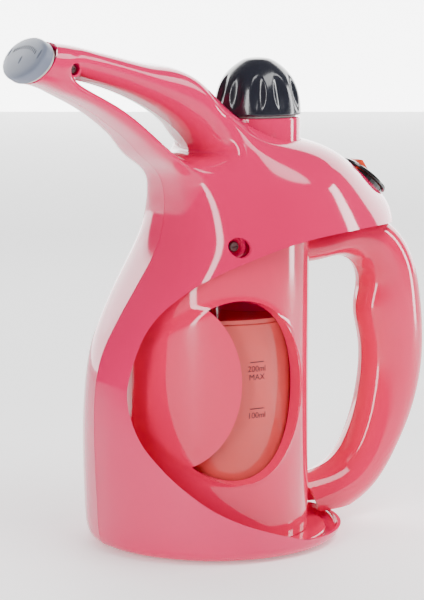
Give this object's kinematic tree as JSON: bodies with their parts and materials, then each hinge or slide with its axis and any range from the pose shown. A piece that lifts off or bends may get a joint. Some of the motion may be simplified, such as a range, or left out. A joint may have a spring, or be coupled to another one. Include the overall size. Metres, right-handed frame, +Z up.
{
  "type": "garment steamer",
  "caption": "Handheld garment steamer: split spout with oval steam nozzle, round water tank behind a crescent window, loop handle, screw filler cap and rocker switch.",
  "frame": {"origin": "centre of the flat base plate's underside, on the floor", "axes": "+Z up, -X toward the steam nozzle, +X toward the loop handle, Y across; the part is near-symmetric about Y = 0"},
  "size_m": [0.2302, 0.1272, 0.2474],
  "materials": {
    "pink_shell": "high gloss translucent-looking pink",
    "pink_housing": "high gloss pink",
    "slate_cap": "gloss slate",
    "grey_nozzle": "satin blue-grey",
    "black_plastic": "gloss black",
    "red_rocker": "clear red",
    "clear_tank": "clear moulded plastic",
    "seal_rubber": "soft",
    "screw_steel": "plated",
    "cast_aluminium": "cast",
    "wire_sleeve": "braided sleeve",
    "white_plastic": "plain"
  },
  "bodies": {
    "steamer": {"cowl_left": "pink_shell", "cowl_right": "pink_shell", "filler_collar": "pink_shell", "base_plate": "pink_shell", "housing_left": "pink_housing", "housing_right": "pink_housing", "handle_left": "pink_housing", "handle_right": "pink_housing", "base_deck": "pink_housing", "nozzle_head": "grey_nozzle", "nozzle_seal": "seal_rubber", "steam_tube": "white_plastic", "cord_gland": "black_plastic", "water_tank": "clear_tank", "tank_cover": "clear_tank", "switch_bezel": "black_plastic", "switch_body": "black_plastic", "switch_tab_a": "screw_steel", "switch_tab_b": "screw_steel", "boiler_cup": "cast_aluminium", "boiler_seal": "seal_rubber", "heater_plate": "cast_aluminium", "heating_element": "screw_steel", "thermostat": "white_plastic", "thermal_fuse": "white_plastic", "base_screw_1": "screw_steel", "base_screw_2": "screw_steel", "base_screw_3": "screw_steel", "neck_screw": "screw_steel", "side_screw": "screw_steel", "lead_live": "wire_sleeve", "lead_neutral": "wire_sleeve"},
    "cap_riser": {"cap_gasket": "seal_rubber"},
    "cap": {"filler_cap": "slate_cap", "cap_insert": "black_plastic"},
    "rocker": {"switch_rocker": "red_rocker"}
  },
  "joints": [
    {"name": "cap_lift", "type": "slide", "parent": "steamer", "child": "cap_riser", "axis": [0, 0, 1], "range_m": [0, 0.0023]},
    {"name": "cap_turn", "type": "hinge", "parent": "cap_riser", "child": "cap", "pos_m": [0.0257, 0, 0.205], "axis": [0, 0, 1], "range_deg": [0, 270]},
    {"name": "rocker_tilt", "type": "hinge", "parent": "steamer", "child": "rocker", "pos_m": [0.0876, 0, 0.1746], "axis": [0, 1, 0], "range_deg": [-14, 0]}
  ],
  "couplings": [
    {"joint": "cap_lift", "follows": "cap_turn", "m_per_rad": 0.00047746}
  ]
}
